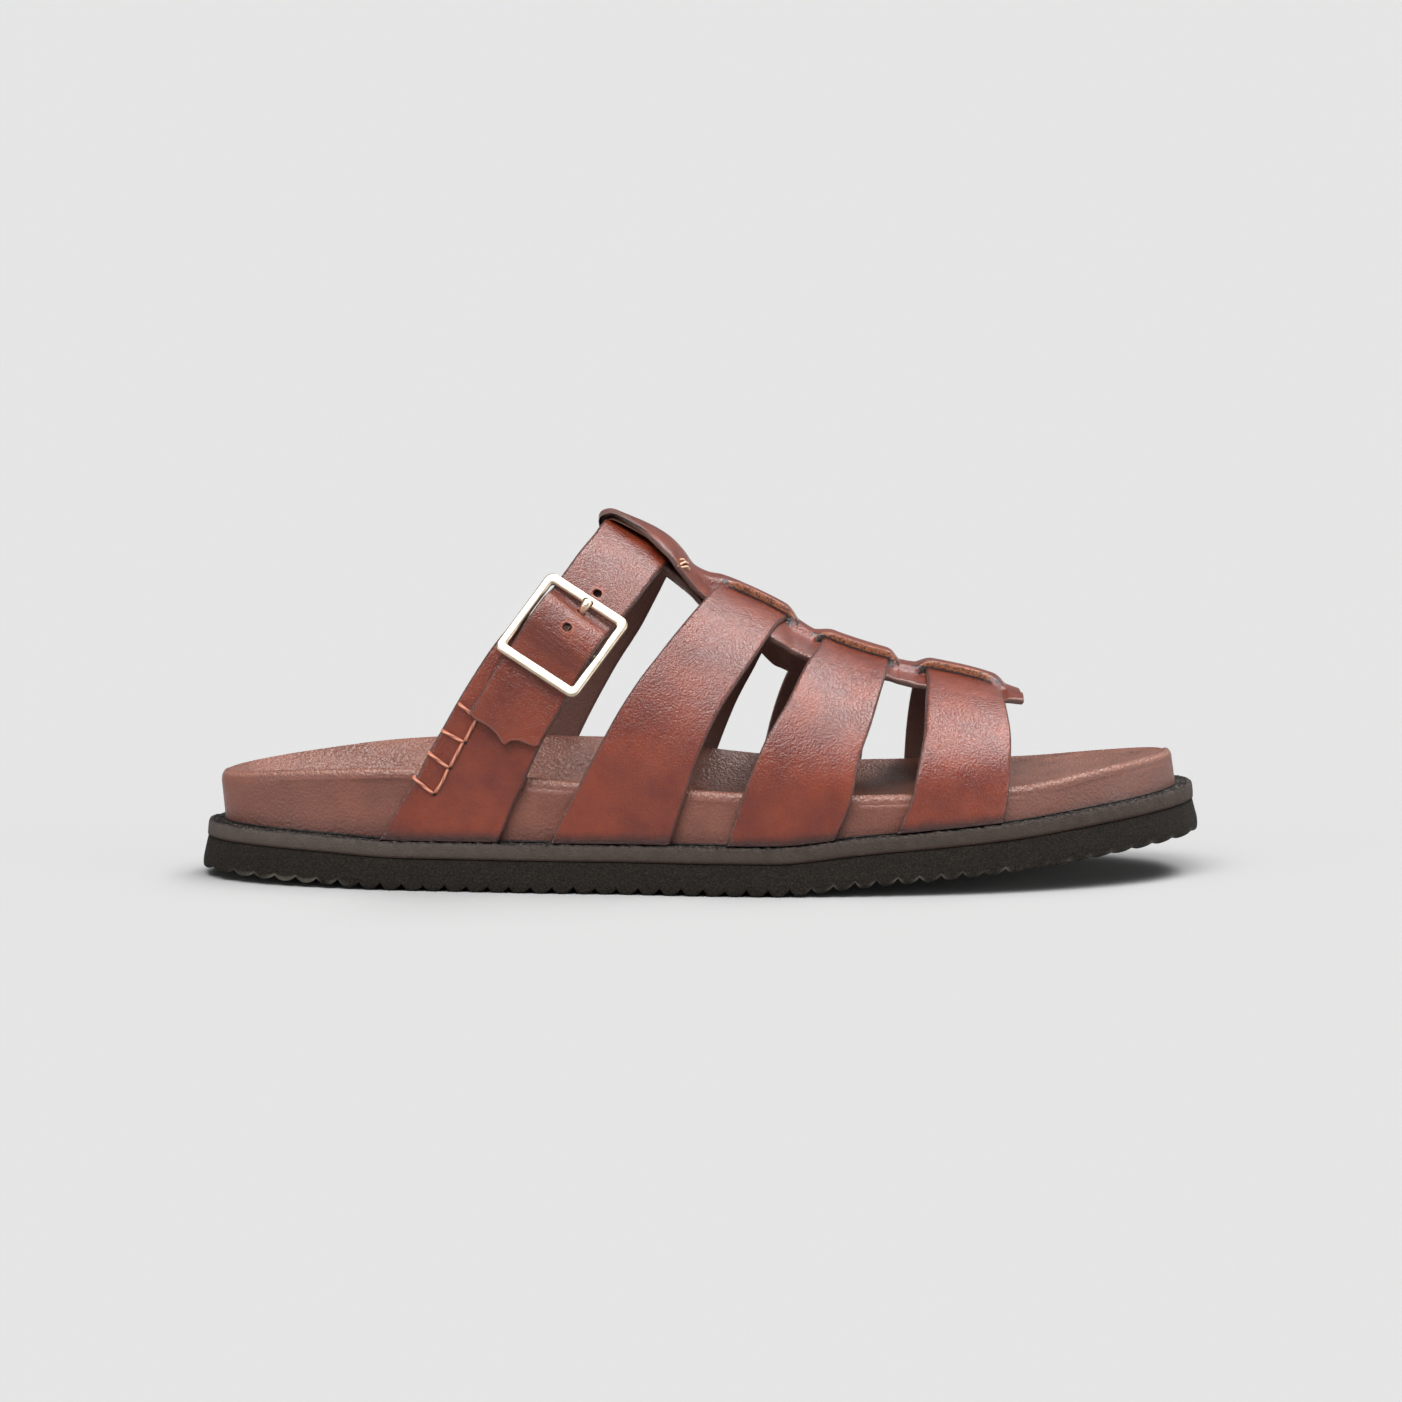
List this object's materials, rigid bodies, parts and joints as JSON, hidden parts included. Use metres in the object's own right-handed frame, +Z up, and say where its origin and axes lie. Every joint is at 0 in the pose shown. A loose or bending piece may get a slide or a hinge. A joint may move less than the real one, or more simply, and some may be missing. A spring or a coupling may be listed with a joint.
{
  "type": "fisherman sandal",
  "caption": "Backless leather fisherman slide for the right foot: cross straps woven through a centre spine, side buckle, dished footbed and ripple sole.",
  "frame": {"origin": "on the floor, below the centre of the outsole's length and width", "axes": "+X from heel to toe, +Y to the inner side of the foot, +Z up"},
  "size_m": [0.2894, 0.1034, 0.1059],
  "materials": {
    "outsole_rubber": "dark brown crumb rubber, matt",
    "midsole_band": "grey-brown firm foam board, matt, with a raw dark top edge",
    "footbed_leather": "dusty brown wrapped leather, satin",
    "strap_leather": "chestnut smooth leather with dark painted edges",
    "buckle_metal": "pale gold plated, satin"
  },
  "bodies": {
    "root": {"outsole": "outsole_rubber", "midsole": "midsole_band", "footbed": "footbed_leather", "upper": "strap_leather", "buckle_billet": "strap_leather", "buckle_frame": "buckle_metal", "buckle_prong": "buckle_metal"}
  },
  "joints": []
}
